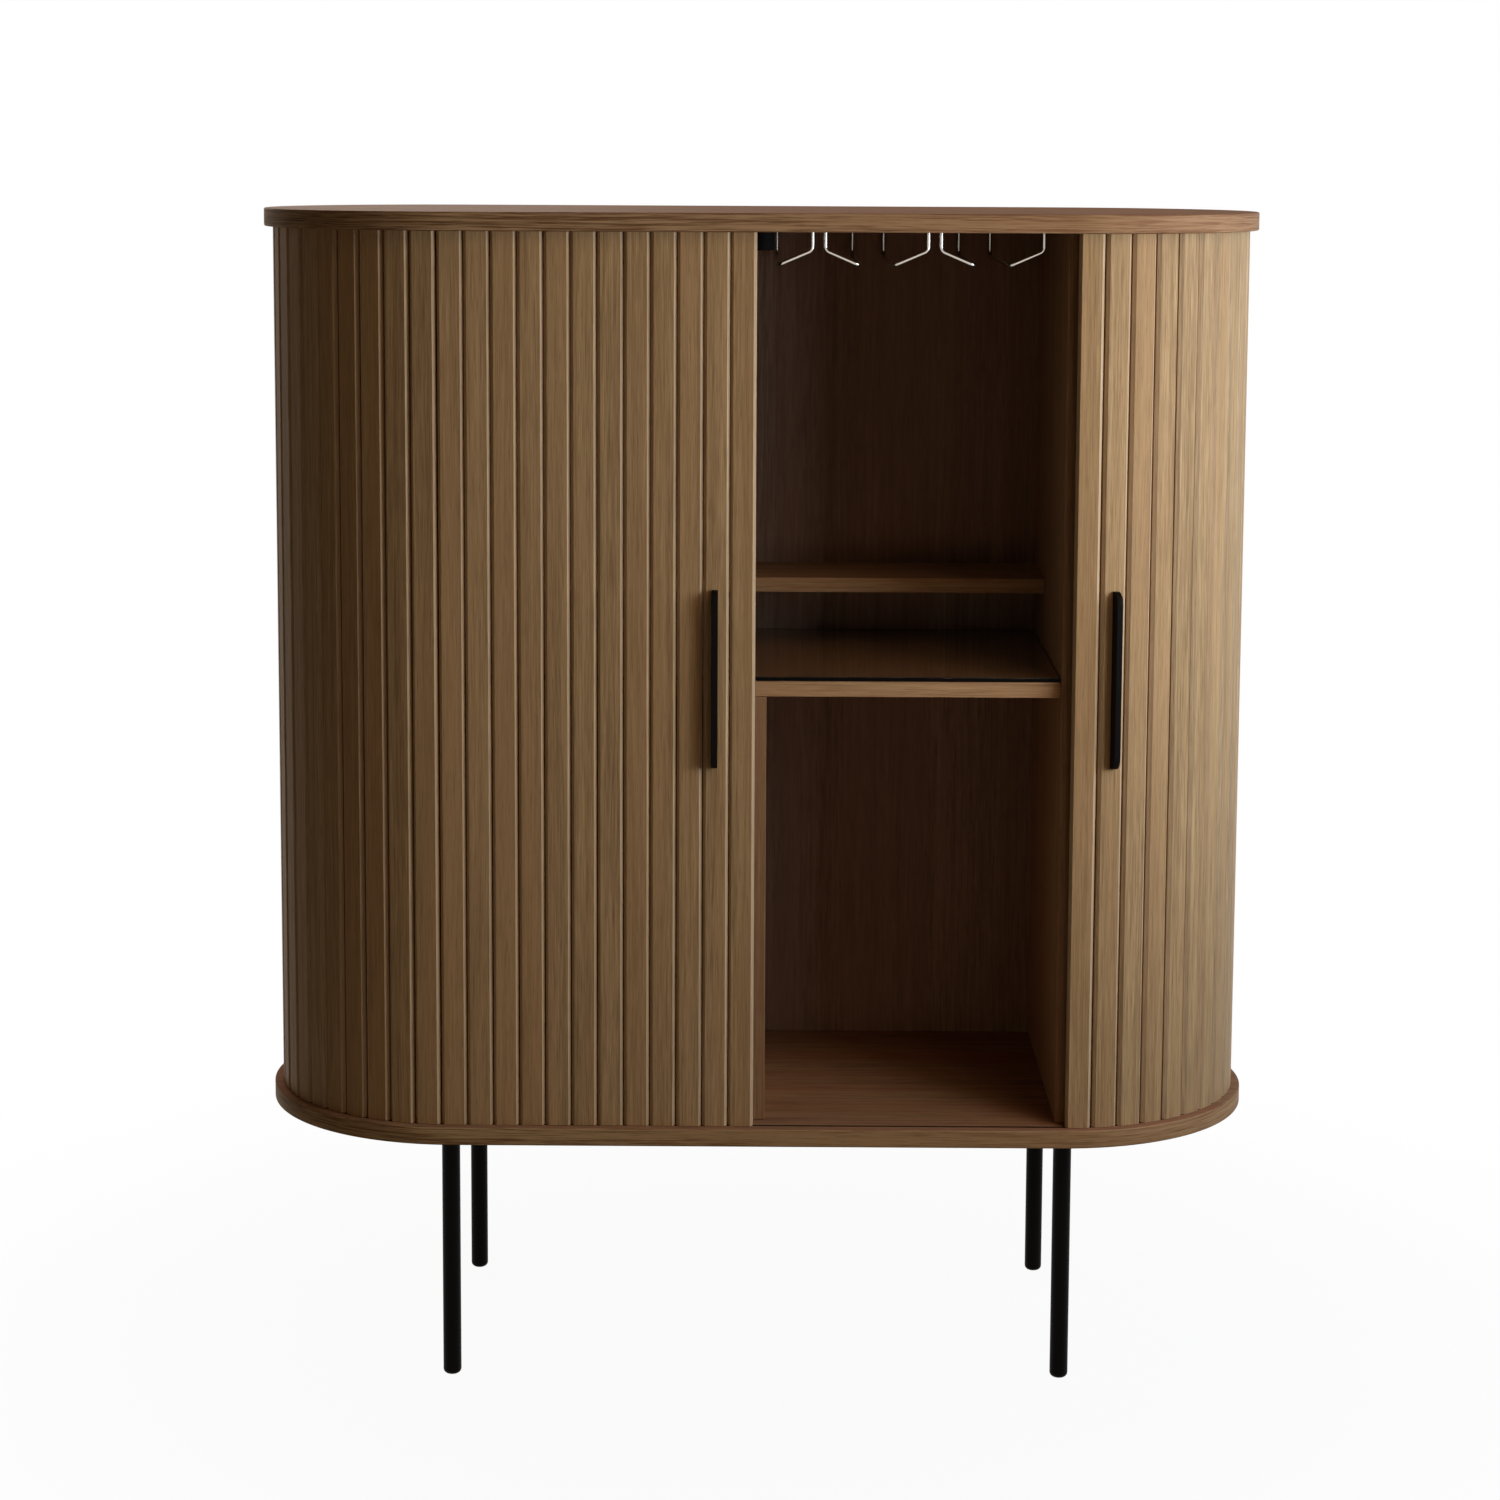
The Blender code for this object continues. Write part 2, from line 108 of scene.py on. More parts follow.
# To the eye the floor is white, but near the cabinet this share of it is matt and takes the shadow.
SHADOW_SHARE = 0.05
SHADOW_NEAR = 0.35
SHADOW_FAR = 1.2
SURROUND_COLOUR = "#ffdcb4"
SURROUND_FILL = 0.033
WHITE = (1, 1, 1, 1)
# Name, target, azimuth from the front towards the right, elevation, distance, size, spread, power
# and colour. Angles are in degrees, lengths in metres and powers in watts.
LAMPS = (
    ("window_light", (-0.14, -0.20, 1.05), 61.5, -2, 1.384, (0.62, 0.60), 128, 7.65, "#d8e8ff"),
    ("front_fill", (0.0, -0.20, 0.70), 8, -7, 3.0, (1.5, 0.7), 180, 4.4, "#ffdfc0"),
    ("side_fill", (0.20, -0.20, 0.80), 91, 18, 1.7, (0.8, 1.0), 180, 20.5, "#a9cbff"),
    ("ceiling_light", (0.10, -0.20, 0.60), 42, 52, 2.2, (0.9, 0.9), 180, 7.5, "#ffe8d0"),
    ("back_light", (0.0, 0.0, 0.70), 202, 32, 3.0, (1.6, 1.6), 180, 38.0, "#fff8ee"),
)


def colour(code):
    """The linear colour of an sRGB hex code, as a shader socket takes it."""
    shares = [int(code[place : place + 2], 16) / 255 for place in (1, 3, 5)]
    linear = [s / 12.92 if s <= 0.04045 else ((s + 0.055) / 1.055) ** 2.4 for s in shares]
    return (*linear, 1.0)


def add_node(tree, kind, sockets, **settings):
    """Adds a node, with its settings, and its sockets set to values or linked to other sockets."""
    node = tree.nodes.new(kind)
    for name, value in settings.items():
        setattr(node, name, value)
    for socket, value in sockets.items():
        if isinstance(value, bpy.types.NodeSocket):
            tree.links.new(value, node.inputs[socket])
        else:
            node.inputs[socket].default_value = value
    return node


def seen_directly(tree):
    """One where a ray comes from the camera, a mirror or through glass, and else nought."""
    path = add_node(tree, "ShaderNodeLightPath", {})
    seen = path.outputs["Is Camera Ray"]
    for kind in ("Is Glossy Ray", "Is Transmission Ray"):
        seen = add_node(
            tree, "ShaderNodeMath", {0: seen, 1: path.outputs[kind]}, operation="MAXIMUM"
        ).outputs[0]
    return seen


def add_lamp(name, target, azimuth, elevation, distance, size, spread, power, tint):
    """A rectangular soft lamp that faces its target."""
    azimuth, elevation = math.radians(azimuth), math.radians(elevation)
    lamp = bpy.data.lights.new(name, "AREA")
    lamp.shape = "RECTANGLE"
    lamp.size, lamp.size_y = size
    lamp.spread = math.radians(spread)
    lamp.energy = power
    lamp.color = colour(tint)[:3]
    away = Vector(
        (
            math.sin(azimuth) * math.cos(elevation),
            -math.cos(azimuth) * math.cos(elevation),
            math.sin(elevation),
        )
    )
    holder = bpy.data.objects.new(name, lamp)
    facing = away.to_track_quat("Z", "Y").to_matrix().to_4x4()
    holder.matrix_world = Matrix.Translation(Vector(target) + away * distance) @ facing
    holder.visible_camera = False
    bpy.context.scene.collection.objects.link(holder)


world = bpy.data.worlds.new("white_surround")
bpy.context.scene.world = world
world.use_nodes = True
tree = world.node_tree
tree.nodes.clear()
fill = add_node(
    tree, "ShaderNodeBackground", {"Color": colour(SURROUND_COLOUR), "Strength": SURROUND_FILL}
)
white = add_node(tree, "ShaderNodeBackground", {"Color": WHITE, "Strength": 1.0})
surround = add_node(
    tree,
    "ShaderNodeMixShader",
    {0: seen_directly(tree), 1: fill.outputs[0], 2: white.outputs[0]},
)
add_node(tree, "ShaderNodeOutputWorld", {"Surface": surround.outputs[0]})

floor_material = bpy.data.materials.new("pale_studio_floor")
floor_material.use_nodes = True
tree = floor_material.node_tree
tree.nodes.clear()
place = add_node(tree, "ShaderNodeTexCoord", {}).outputs["Object"]
away = add_node(tree, "ShaderNodeVectorMath", {0: place}, operation="LENGTH").outputs["Value"]
brightness = add_node(
    tree,
    "ShaderNodeMapRange",
    {
        "Value": away,
        "From Min": SHADOW_NEAR,
        "From Max": SHADOW_FAR,
        "To Min": 1 - SHADOW_SHARE,
        "To Max": 1.0,
    },
    interpolation_type="SMOOTHSTEP",
).outputs[0]
share = add_node(
    tree, "ShaderNodeMath", {0: brightness, 1: seen_directly(tree)}, operation="MULTIPLY"
).outputs[0]
matt = add_node(tree, "ShaderNodeBsdfDiffuse", {"Color": colour(FLOOR_COLOUR)})
bright = add_node(tree, "ShaderNodeEmission", {"Color": WHITE, "Strength": 1.0})
mixed = add_node(
    tree, "ShaderNodeMixShader", {0: share, 1: matt.outputs[0], 2: bright.outputs[0]}
)
add_node(tree, "ShaderNodeOutputMaterial", {"Surface": mixed.outputs[0]})

bm = bmesh.new()
bmesh.ops.create_circle(bm, cap_ends=True, segments=FLOOR_STEPS, radius=FLOOR_RADIUS)
mesh = bpy.data.meshes.new("floor")
bm.to_mesh(mesh)
bm.free()
mesh.materials.append(floor_material)
floor = bpy.data.objects.new("floor", mesh)
bpy.context.scene.collection.objects.link(floor)

for lamp in LAMPS:
    add_lamp(*lamp)


# Legs: four round steel bars, each welded to a round plate that three screws hold under the
# bottom panel. All of it is powder-coated matt black, and the foot's edge is turned round.
LEG_RADIUS = 0.009
LEG_STEPS = 56
FOOT_ROUNDING = 0.005
FOOT_STEPS = 8
PLATE_THICKNESS = 0.0025
PLATE_ROUNDING = 0.0005
PLATE_ROUNDING_STEPS = 3
WELD_WIDTH = 0.0028
WELD_STEPS = 4
SCREW_CIRCLE = 0.0205
SCREW_COUNT = 3
SCREW_RADIUS = 0.0038
SCREW_HEIGHT = 0.0016
SCREW_STEPS = 24
SCREW_CROWN_SHARE = 0.72
SOCKET_SHARE = 0.55
SOCKET_LOBES = 6
SOCKET_LOBE_DEPTH_SHARE = 0.16
SOCKET_DEPTH = 0.0011
CLOUD_PER_GRIT = 40
BLACK_ROUGHNESS_SPREAD = 0.06
GRIT_STRENGTH = 0.35
SHARP_ANGLE = math.radians(35)
BROAD_AREA = 0.0004
MERGE_DISTANCE = 0.000005
# Directions in a profile, in quarter turns, and the ways to turn
DOWN, OUT, UP, IN = -1, 0, 1, 2
ANTICLOCKWISE, CLOCKWISE = 1, -1


def add_piece(name, bm, *materials):
    """Makes an object at the origin of a bmesh that has its place in its points.

    Its shading is smooth but for sharp edges and the borders of broad flat faces.
    """
    for face in bm.faces:
        face.smooth = True
    for edge in bm.edges:
        broad = any(face.calc_area() > BROAD_AREA for face in edge.link_faces)
        edge.smooth = not broad and edge.calc_face_angle(0) < SHARP_ANGLE
    mesh = bpy.data.meshes.new(name)
    bm.to_mesh(mesh)
    bm.free()
    for material in materials:
        mesh.materials.append(material)
    piece = bpy.data.objects.new(name, mesh)
    bpy.context.scene.collection.objects.link(piece)
    return piece


def stand_for(piece, node):
    """The piece takes the place and the body of one of the frame's nodes, whose solid is hidden."""
    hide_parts(node)
    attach(piece, frame["nodes"][node]["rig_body"])


def points_of(items):
    """The points among the items that an operator has made."""
    return [item for item in items if isinstance(item, bmesh.types.BMVert)]


def turned(bm, profile, centre, steps):
    """Spins a profile of radius and height, from axis to axis, about a vertical line."""
    verts = [bm.verts.new((centre.x + radius, centre.y, z)) for radius, z in profile]
    edges = [bm.edges.new(pair) for pair in zip(verts, verts[1:])]
    bmesh.ops.spin(
        bm,
        geom=verts + edges,
        cent=centre,
        axis=Vector((0, 0, 1)),
        angle=2 * math.pi,
        steps=steps,
        use_merge=True,
    )
    bmesh.ops.remove_doubles(bm, verts=bm.verts, dist=MERGE_DISTANCE)
    bmesh.ops.recalc_face_normals(bm, faces=bm.faces)


def quarter(centre, radius, start, turn, steps):
    """Points of a quarter circle in a profile, from a first direction and on by a quarter turn."""
    points = []
    for step in range(steps + 1):
        angle = math.pi / 2 * (start + turn * step / steps)
        points.append((centre[0] + radius * math.cos(angle), centre[1] + radius * math.sin(angle)))
    return points


def new_material(name):
    """A material, its node tree, and the shader that it starts with."""
    material = bpy.data.materials.new(name)
    material.use_nodes = True
    return material, material.node_tree, material.node_tree.nodes["Principled BSDF"]


def black_finish(name, base, roughness, shine, grit_mm, relief):
    """A nearly black skin with a fine grit in relief, and a shine that varies in soft clouds."""
    material, tree, shader = new_material(name)
    place = add_node(tree, "ShaderNodeTexCoord", {}).outputs["Object"]
    grit = add_node(
        tree,
        "ShaderNodeTexNoise",
        {"Vector": place, "Scale": 1000 / grit_mm, "Detail": 2.0, "Roughness": 0.6},
    ).outputs["Fac"]
    cloud = add_node(
        tree,
        "ShaderNodeTexNoise",
        {"Vector": place, "Scale": 1000 / (CLOUD_PER_GRIT * grit_mm), "Detail": 3.0},
    ).outputs["Fac"]
    rough = add_node(
        tree,
        "ShaderNodeMapRange",
        {
            "Value": cloud,
            "To Min": roughness - BLACK_ROUGHNESS_SPREAD,
            "To Max": roughness + BLACK_ROUGHNESS_SPREAD,
        },
    ).outputs[0]
    bump = add_node(
        tree, "ShaderNodeBump", {"Height": grit, "Strength": GRIT_STRENGTH, "Distance": relief}
    )
    tree.links.new(rough, shader.inputs["Roughness"])
    tree.links.new(bump.outputs[0], shader.inputs["Normal"])
    shader.inputs["Base Color"].default_value = colour(base)
    shader.inputs["Specular IOR Level"].default_value = shine
    return material


# Powder paint bakes to a matt skin, pimpled about every half millimetre. Here the pimples are
# 1.2 mm apart, so that they show.
black_coat = black_finish("black_powder_coat_on_steel", "#0b0705", 0.42, 0.035, 1.2, 0.00008)
# Blackened zinc on the screws is smoother and a little greyer than the paint.
black_zinc = black_finish("blackened_zinc_screw", "#1c1c1d", 0.30, 0.35, 0.8, 0.00002)

screws = bmesh.new()
for leg in ("front_left_leg", "front_right_leg", "rear_left_leg", "rear_right_leg"):
    low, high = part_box(leg)
    middle = (low + high) / 2
    plate_radius = (high.x - low.x) / 2
    plate_low = high.z - PLATE_THICKNESS
    foot = (LEG_RADIUS - FOOT_ROUNDING, low.z + FOOT_ROUNDING)
    weld = (LEG_RADIUS + WELD_WIDTH, plate_low - WELD_WIDTH)
    plate_edge = (plate_radius - PLATE_ROUNDING, plate_low + PLATE_ROUNDING)
    profile = [(0, low.z)]
    profile += quarter(foot, FOOT_ROUNDING, DOWN, ANTICLOCKWISE, FOOT_STEPS)
    profile += quarter(weld, WELD_WIDTH, IN, CLOCKWISE, WELD_STEPS)
    profile += quarter(plate_edge, PLATE_ROUNDING, DOWN, ANTICLOCKWISE, PLATE_ROUNDING_STEPS)
    profile += [(plate_radius, high.z), (0, high.z)]
    bm = bmesh.new()
    turned(bm, profile, middle, LEG_STEPS)
    stand_for(add_piece(f"{leg}_bar_and_plate", bm, black_coat), leg)

    for number in range(SCREW_COUNT):
        turn = Matrix.Rotation(2 * math.pi * (number + 0.5) / SCREW_COUNT, 4, "Z")
        seat = Matrix.Translation((middle.x, middle.y, plate_low - SCREW_HEIGHT / 2)) @ turn
        head = bmesh.ops.create_cone(
            screws,
            cap_ends=True,
            segments=SCREW_STEPS,
            radius1=SCREW_RADIUS * SCREW_CROWN_SHARE,
            radius2=SCREW_RADIUS,
            depth=SCREW_HEIGHT,
            matrix=seat @ Matrix.Translation((SCREW_CIRCLE, 0, 0)),
        )["verts"]
        faces = {face for vert in head for face in vert.link_faces}
        crown = min(faces, key=lambda face: face.calc_center_median().z)
        bmesh.ops.inset_region(
            screws, faces=[crown], thickness=SCREW_RADIUS * SCREW_CROWN_SHARE * (1 - SOCKET_SHARE)
        )
        hub = crown.calc_center_median()
        for order, vert in enumerate(crown.verts):
            lobe = math.cos(2 * math.pi * SOCKET_LOBES * order / SCREW_STEPS)
            vert.co = hub + (vert.co - hub) * (1 + SOCKET_LOBE_DEPTH_SHARE * lobe)
        sunk = bmesh.ops.extrude_face_region(screws, geom=[crown])["geom"]
        bmesh.ops.translate(screws, verts=points_of(sunk), vec=Vector((0, 0, SOCKET_DEPTH)))
        bmesh.ops.delete(screws, geom=[crown], context="FACES")
bmesh.ops.recalc_face_normals(screws, faces=screws.faces)
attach(add_piece("leg_plate_screws", screws, black_zinc), "cabinet")


# Top and bottom panels: 18 mm boards with half-round ends, veneered on both faces with the grain
# lengthwise, and a band of veneer bent round the edge. A groove is routed for the doors.
EDGE_ROUNDING = 0.0015
EDGE_ROUNDING_STEPS = 4
END_STEPS = 96
GROOVE_WIDTH = 0.004
GROOVE_DEPTH = 0.005
GROOVE_FROM_EDGE = 0.0131
FLAT_NORMAL = 0.7
# Places in a panel's list of materials
BAND_PLACE, CORE_PLACE = 1, 2
PANEL_SEED = 100
# How far apart in the log, in metres, the boards and strips may start
GRAIN_SPREAD = 3.0
# The grain wanders sideways by a few millimetres, to and fro in about 30 cm of its length.
WANDER_PER_METRE = (9, 9, 3.5)
WANDER_REACH = (0.005, 0.005, 0.0)
# Each layer of the figure: its width across and length along the grain in millimetres, and how
# fine its detail goes. Oak's pores are some 0.3 mm wide, drawn at 0.8 mm so that they show.
VENEER_LAYERS = (
    ("tone", 60, 1400, 1.0),
    ("band", 11, 600, 2.0),
    ("streak", 2.6, 210, 3.0),
    ("fibre", 1.1, 45, 2.0),
    ("pore", 0.8, 22, 1.0),
)
# The figure starts as the bands, and each of these in turn takes up a share of it.
FIGURE_SHARES = (("streak", 0.55), ("fibre", 0.46), ("tone", 0.12))
FIGURE_MIDDLE = 0.5
FIGURE_SPAN = 0.16
LAYER_ROUGHNESS = 0.55
# The wood turns warmer where the tone is high, and dark where the pores' layer is, by these shares.
WARM_RANGE = (0.42, 0.62)
WARM_SHARE = 0.55
PORE_RANGE = (0.58, 0.74)
PORE_SHARE = 0.35
# Dark streaks are a little duller than the lacquer in general, and pale ones a little glossier.
SHEEN_RANGE = (0.3, 0.7)
DULLER, GLOSSIER = 0.07, 0.05
RELIEF_STRENGTH = 0.4
RELIEF_DEPTH = 0.00025
# The numbers of a mix node's sockets, for colours and for plain values
MIX_FACTOR, MIX_FIRST, MIX_SECOND, MIX_RESULT = 0, 6, 7, 2
MIX_FIRST_VALUE, MIX_SECOND_VALUE, MIX_VALUE_RESULT = 2, 3, 0


def veneer(name, dark, pale, warm, pore, contrast, shine, roughness):
    """Sliced oak veneer under matt lacquer, stained brown, read from the wood's own coordinates.

    Straight streaks a few millimetres wide run through broad soft bands, with short dark pores.
    """
    material, tree, shader = new_material(name)
    grain = add_node(tree, "ShaderNodeAttribute", {}, attribute_name="grain").outputs["Vector"]
    slow = add_node(tree, "ShaderNodeMapping", {"Vector": grain, "Scale": WANDER_PER_METRE})
    wander = add_node(
        tree, "ShaderNodeTexNoise", {"Vector": slow.outputs[0], "Scale": 1.0, "Detail": 1.0}
    ).outputs["Color"]
    shift = add_node(
        tree,
        "ShaderNodeVectorMath",
        {0: wander, 1: WANDER_REACH, 2: grain},
        operation="MULTIPLY_ADD",
    ).outputs[0]
    layers = {}
    for label, wide, long, detail in VENEER_LAYERS:
        stretched = add_node(
            tree,
            "ShaderNodeMapping",
            {"Vector": shift, "Scale": (1000 / wide, 1000 / wide, 1000 / long)},
        )
        layers[label] = add_node(
            tree,
            "ShaderNodeTexNoise",
            {
                "Vector": stretched.outputs[0],
                "Scale": 1.0,
                "Detail": detail,
                "Roughness": LAYER_ROUGHNESS,
            },
        ).outputs["Fac"]
    figure = layers["band"]
    for label, share in FIGURE_SHARES:
        figure = add_node(
            tree,
            "ShaderNodeMix",
            {MIX_FACTOR: share, MIX_FIRST_VALUE: figure, MIX_SECOND_VALUE: layers[label]},
            data_type="FLOAT",
        ).outputs[MIX_VALUE_RESULT]
    lightness = add_node(
        tree,
        "ShaderNodeMapRange",
        {
            "Value": figure,
            "From Min": FIGURE_MIDDLE - FIGURE_SPAN / contrast,
            "From Max": FIGURE_MIDDLE + FIGURE_SPAN / contrast,
        },
    ).outputs[0]
    wood = add_node(
        tree,
        "ShaderNodeMix",
        {MIX_FACTOR: lightness, MIX_FIRST: colour(dark), MIX_SECOND: colour(pale)},
        data_type="RGBA",
    ).outputs[MIX_RESULT]
    warmth = add_node(
        tree,
        "ShaderNodeMapRange",
        {
            "Value": layers["tone"],
            "From Min": WARM_RANGE[0],
            "From Max": WARM_RANGE[1],
            "To Max": WARM_SHARE,
        },
    ).outputs[0]
    wood = add_node(
        tree,
        "ShaderNodeMix",
        {MIX_FACTOR: warmth, MIX_FIRST: wood, MIX_SECOND: colour(warm)},
        data_type="RGBA",
    ).outputs[MIX_RESULT]
    dashes = add_node(
        tree,
        "ShaderNodeMapRange",
        {
            "Value": layers["pore"],
            "From Min": PORE_RANGE[0],
            "From Max": PORE_RANGE[1],
            "To Max": PORE_SHARE,
        },
    ).outputs[0]
    wood = add_node(
        tree,
        "ShaderNodeMix",
        {MIX_FACTOR: dashes, MIX_FIRST: wood, MIX_SECOND: colour(pore)},
        data_type="RGBA",
    ).outputs[MIX_RESULT]
    rough = add_node(
        tree,
        "ShaderNodeMapRange",
        {
            "Value": figure,
            "From Min": SHEEN_RANGE[0],
            "From Max": SHEEN_RANGE[1],
            "To Min": roughness + DULLER,
            "To Max": roughness - GLOSSIER,
        },
    ).outputs[0]
    relief = add_node(
        tree, "ShaderNodeMath", {0: figure, 1: dashes}, operation="SUBTRACT"
    ).outputs[0]
    bump = add_node(
        tree,
        "ShaderNodeBump",
        {"Height": relief, "Strength": RELIEF_STRENGTH, "Distance": RELIEF_DEPTH},
    )
    tree.links.new(wood, shader.inputs["Base Color"])
    tree.links.new(rough, shader.inputs["Roughness"])
    tree.links.new(bump.outputs[0], shader.inputs["Normal"])
    shader.inputs["Specular IOR Level"].default_value = shine
    return material


# Under matt lacquer the panels' flat faces are a dull reddish brown.
panel_wood = veneer(
    "stained_oak_veneer_panel", "#75533a", "#a57a53", "#905739", "#4b2f1c", 1.5, 0.012, 0.6
)
# The bottom edge band is painted paler and yellower than the top one, as painted light from the
# floor.
top_band = veneer(
    "stained_oak_top_edge_band", "#69472b", "#b08a5f", "#926240", "#3d2513", 2.6, 0.03, 0.5
)
bottom_band_painted_light = veneer(
    "stained_oak_bottom_edge_band_painted_light", "#704e2e", "#bc9866", "#9c6c45", "#412914", 2.6, 0.03, 0.5
)
PANELS = (("top_panel", False, top_band), ("bottom_panel", True, bottom_band_painted_light))

# In the groove the stained fibreboard core is dull and dark, with faint flecks about 1 mm wide.
FLECKS_PER_METRE = 900.0
routed_core, tree, shader = new_material("stained_fibreboard_core")
place = add_node(tree, "ShaderNodeTexCoord", {}).outputs["Object"]
fleck = add_node(
    tree, "ShaderNodeTexNoise", {"Vector": place, "Scale": FLECKS_PER_METRE, "Detail": 2.0}
).outputs["Fac"]
mixed = add_node(
    tree,
    "ShaderNodeMix",
    {MIX_FACTOR: fleck, MIX_FIRST: colour("#21140c"), MIX_SECOND: colour("#33200f")},
    data_type="RGBA",
).outputs[MIX_RESULT]
tree.links.new(mixed, shader.inputs["Base Color"])
shader.inputs["Roughness"].default_value = 0.85
shader.inputs["Specular IOR Level"].default_value = 0.1


def lay_grain(bm, grain_of, seed):
    """Writes the wood's own coordinates on the faces' corners: across, into and along the grain.

    Each board or strip starts at its own random place in the log.
    """
    dice = random.Random(seed)
    start = Vector([dice.uniform(-GRAIN_SPREAD, GRAIN_SPREAD) for _ in range(3)])
    bm.normal_update()
    layer = bm.loops.layers.float_vector.get("grain") or bm.loops.layers.float_vector.new("grain")
    for face in bm.faces:
        for loop in face.loops:
            loop[layer] = grain_of(face, loop.vert.co) + start


def panel_profile(reach, low, high, grooved_high):
    """Half section of a panel, from the top of its middle line to the bottom."""
    groove = reach - GROOVE_FROM_EDGE
    upper = (reach - EDGE_ROUNDING, high - EDGE_ROUNDING)
    lower = (reach - EDGE_ROUNDING, low + EDGE_ROUNDING)
    points = [(0, high)]
    points += quarter(upper, EDGE_ROUNDING, UP, CLOCKWISE, EDGE_ROUNDING_STEPS)
    points += quarter(lower, EDGE_ROUNDING, OUT, CLOCKWISE, EDGE_ROUNDING_STEPS)
    points += [(0, low)]
    level, floor_level = (high, high - GROOVE_DEPTH) if grooved_high else (low, low + GROOVE_DEPTH)
    cut = [
        (groove + GROOVE_WIDTH / 2, level),
        (groove + GROOVE_WIDTH / 2, floor_level),
        (groove - GROOVE_WIDTH / 2, floor_level),
        (groove - GROOVE_WIDTH / 2, level),
    ]
    return points[:1] + cut[::-1] + points[1:] if grooved_high else points[:-1] + cut + points[-1:]


for number, (node, grooved_high, band) in enumerate(PANELS):
    low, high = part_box(node)
    reach = (high.y - low.y) / 2
    straight = (high.x - low.x) / 2 - reach
    middle_y = (low.y + high.y) / 2
    bm = bmesh.new()
    profile = panel_profile(reach, low.z, high.z, grooved_high)
    verts = [bm.verts.new((straight, middle_y - out, z)) for out, z in profile]
    edges = [bm.edges.new(pair) for pair in zip(verts, verts[1:])]
    bmesh.ops.spin(
        bm,
        geom=verts + edges,
        cent=Vector((straight, middle_y, 0)),
        axis=Vector((0, 0, 1)),
        angle=math.pi,
        steps=END_STEPS,
        use_merge=False,
    )
    bmesh.ops.remove_doubles(bm, verts=bm.verts, dist=MERGE_DISTANCE)
    right_end = bm.verts[:] + bm.edges[:] + bm.faces[:]
    rim = [edge for edge in bm.edges if edge.is_boundary]
    left_end = bmesh.ops.duplicate(bm, geom=right_end)["geom"]
    bmesh.ops.scale(bm, verts=points_of(left_end), vec=Vector((-1, 1, 1)))
    reached = bmesh.ops.extrude_edge_only(bm, edges=rim)["geom"]
    bmesh.ops.translate(bm, verts=points_of(reached), vec=Vector((-2 * straight, 0, 0)))
    bmesh.ops.remove_doubles(bm, verts=bm.verts, dist=MERGE_DISTANCE)
    bmesh.ops.recalc_face_normals(bm, faces=bm.faces)

    def panel_grain(face, point):
        """Lengthwise on the flat faces, and along the band, whose ends meet at the rear left."""
        if abs(face.normal.z) > FLAT_NORMAL:
            return Vector((point.y, point.z, point.x))
        x = face.calc_center_median().x
        if abs(x) > straight:
            side = 1 if x > 0 else -1
            angle = math.atan2(side * point.x - straight, middle_y - point.y)
            return Vector((point.z, 0, side * (straight + reach * angle)))
        if point.y < middle_y:
            return Vector((point.z, 0, point.x))
        return Vector((point.z, 0, 2 * straight + reach * math.pi - point.x))

    lay_grain(bm, panel_grain, PANEL_SEED + number)
    groove_out = reach - GROOVE_FROM_EDGE + GROOVE_WIDTH
    for face in bm.faces:
        x, y, z = face.calc_center_median()
        inside = low.z + EDGE_ROUNDING / 2 < z < high.z - EDGE_ROUNDING / 2
        out = math.hypot(max(abs(x) - straight, 0), y - middle_y)
        if inside and out < groove_out:
            face.material_index = CORE_PLACE
        elif abs(face.normal.z) <= FLAT_NORMAL:
            face.material_index = BAND_PLACE
    piece = add_piece(f"{node}_veneered_board", bm, panel_wood, band, routed_core)
    stand_for(piece, node)


# Inner case: veneered boards between the two panels, with eased arrises. The grain stands upright
# on the sides, the back and the divider, and runs lengthwise on the two shelves.
BOARD_ROUNDING = 0.0006
BOARD_ROUNDING_STEPS = 3
CASE_SEED = 200

# The back's veneer is greyer than the warm middle brown of the case's other boards.
back_wood = veneer(
    "greyish_stained_oak_back", "#725946", "#9b7c66", "#866350", "#4d382a", 1.3, 0.03, 0.55
)
case_wood = veneer(
    "stained_oak_veneer_case", "#825d3d", "#ad875c", "#936441", "#51351f", 1.3, 0.04, 0.5
)
# The middle shelf is cut from a paler leaf, which also shows through its glass.
shelf_wood = veneer(
    "pale_stained_oak_middle_shelf", "#956a46", "#c69a69", "#a8724a", "#5d3d23", 1.3, 0.04, 0.5
)
CASE_BOARDS = (
    ("left_side_board", True, case_wood),
    ("right_side_board", True, case_wood),
    ("back_panel", True, back_wood),
    ("centre_divider", True, case_wood),
    ("middle_shelf", False, shelf_wood),
    ("upper_shelf", False, case_wood),
)


def ease(bm, edges, width, steps):
    """Takes edges off by a width: in one flat chamfer, or round in more steps."""
    bmesh.ops.bevel(
        bm,
        geom=edges,
        offset=width,
        segments=steps,
        profile=0.5,
        affect="EDGES",
        material=-1,
    )


def eased_block(low, high, rounding, steps):
    """A rectangular block between two corners with every edge rounded."""
    bm = bmesh.new()
    place = Matrix.Translation((low + high) / 2) @ Matrix.Diagonal((*(high - low), 1))
    bmesh.ops.create_cube(bm, size=1, matrix=place)
    ease(bm, bm.edges[:], rounding, steps)
    return bm


def upright_grain(_, point):
    """The grain runs upwards, along Z."""
    return Vector((point.x, point.y, point.z))


def lengthwise_grain(_, point):
    """The grain runs from side to side, along X."""
    return Vector((point.y, point.z, point.x))


for number, (node, upright, wood) in enumerate(CASE_BOARDS):
    bm = eased_block(*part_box(node), BOARD_ROUNDING, BOARD_ROUNDING_STEPS)
    lay_grain(bm, upright_grain if upright else lengthwise_grain, CASE_SEED + number)
    stand_for(add_piece(f"{node}_veneered", bm, wood), node)


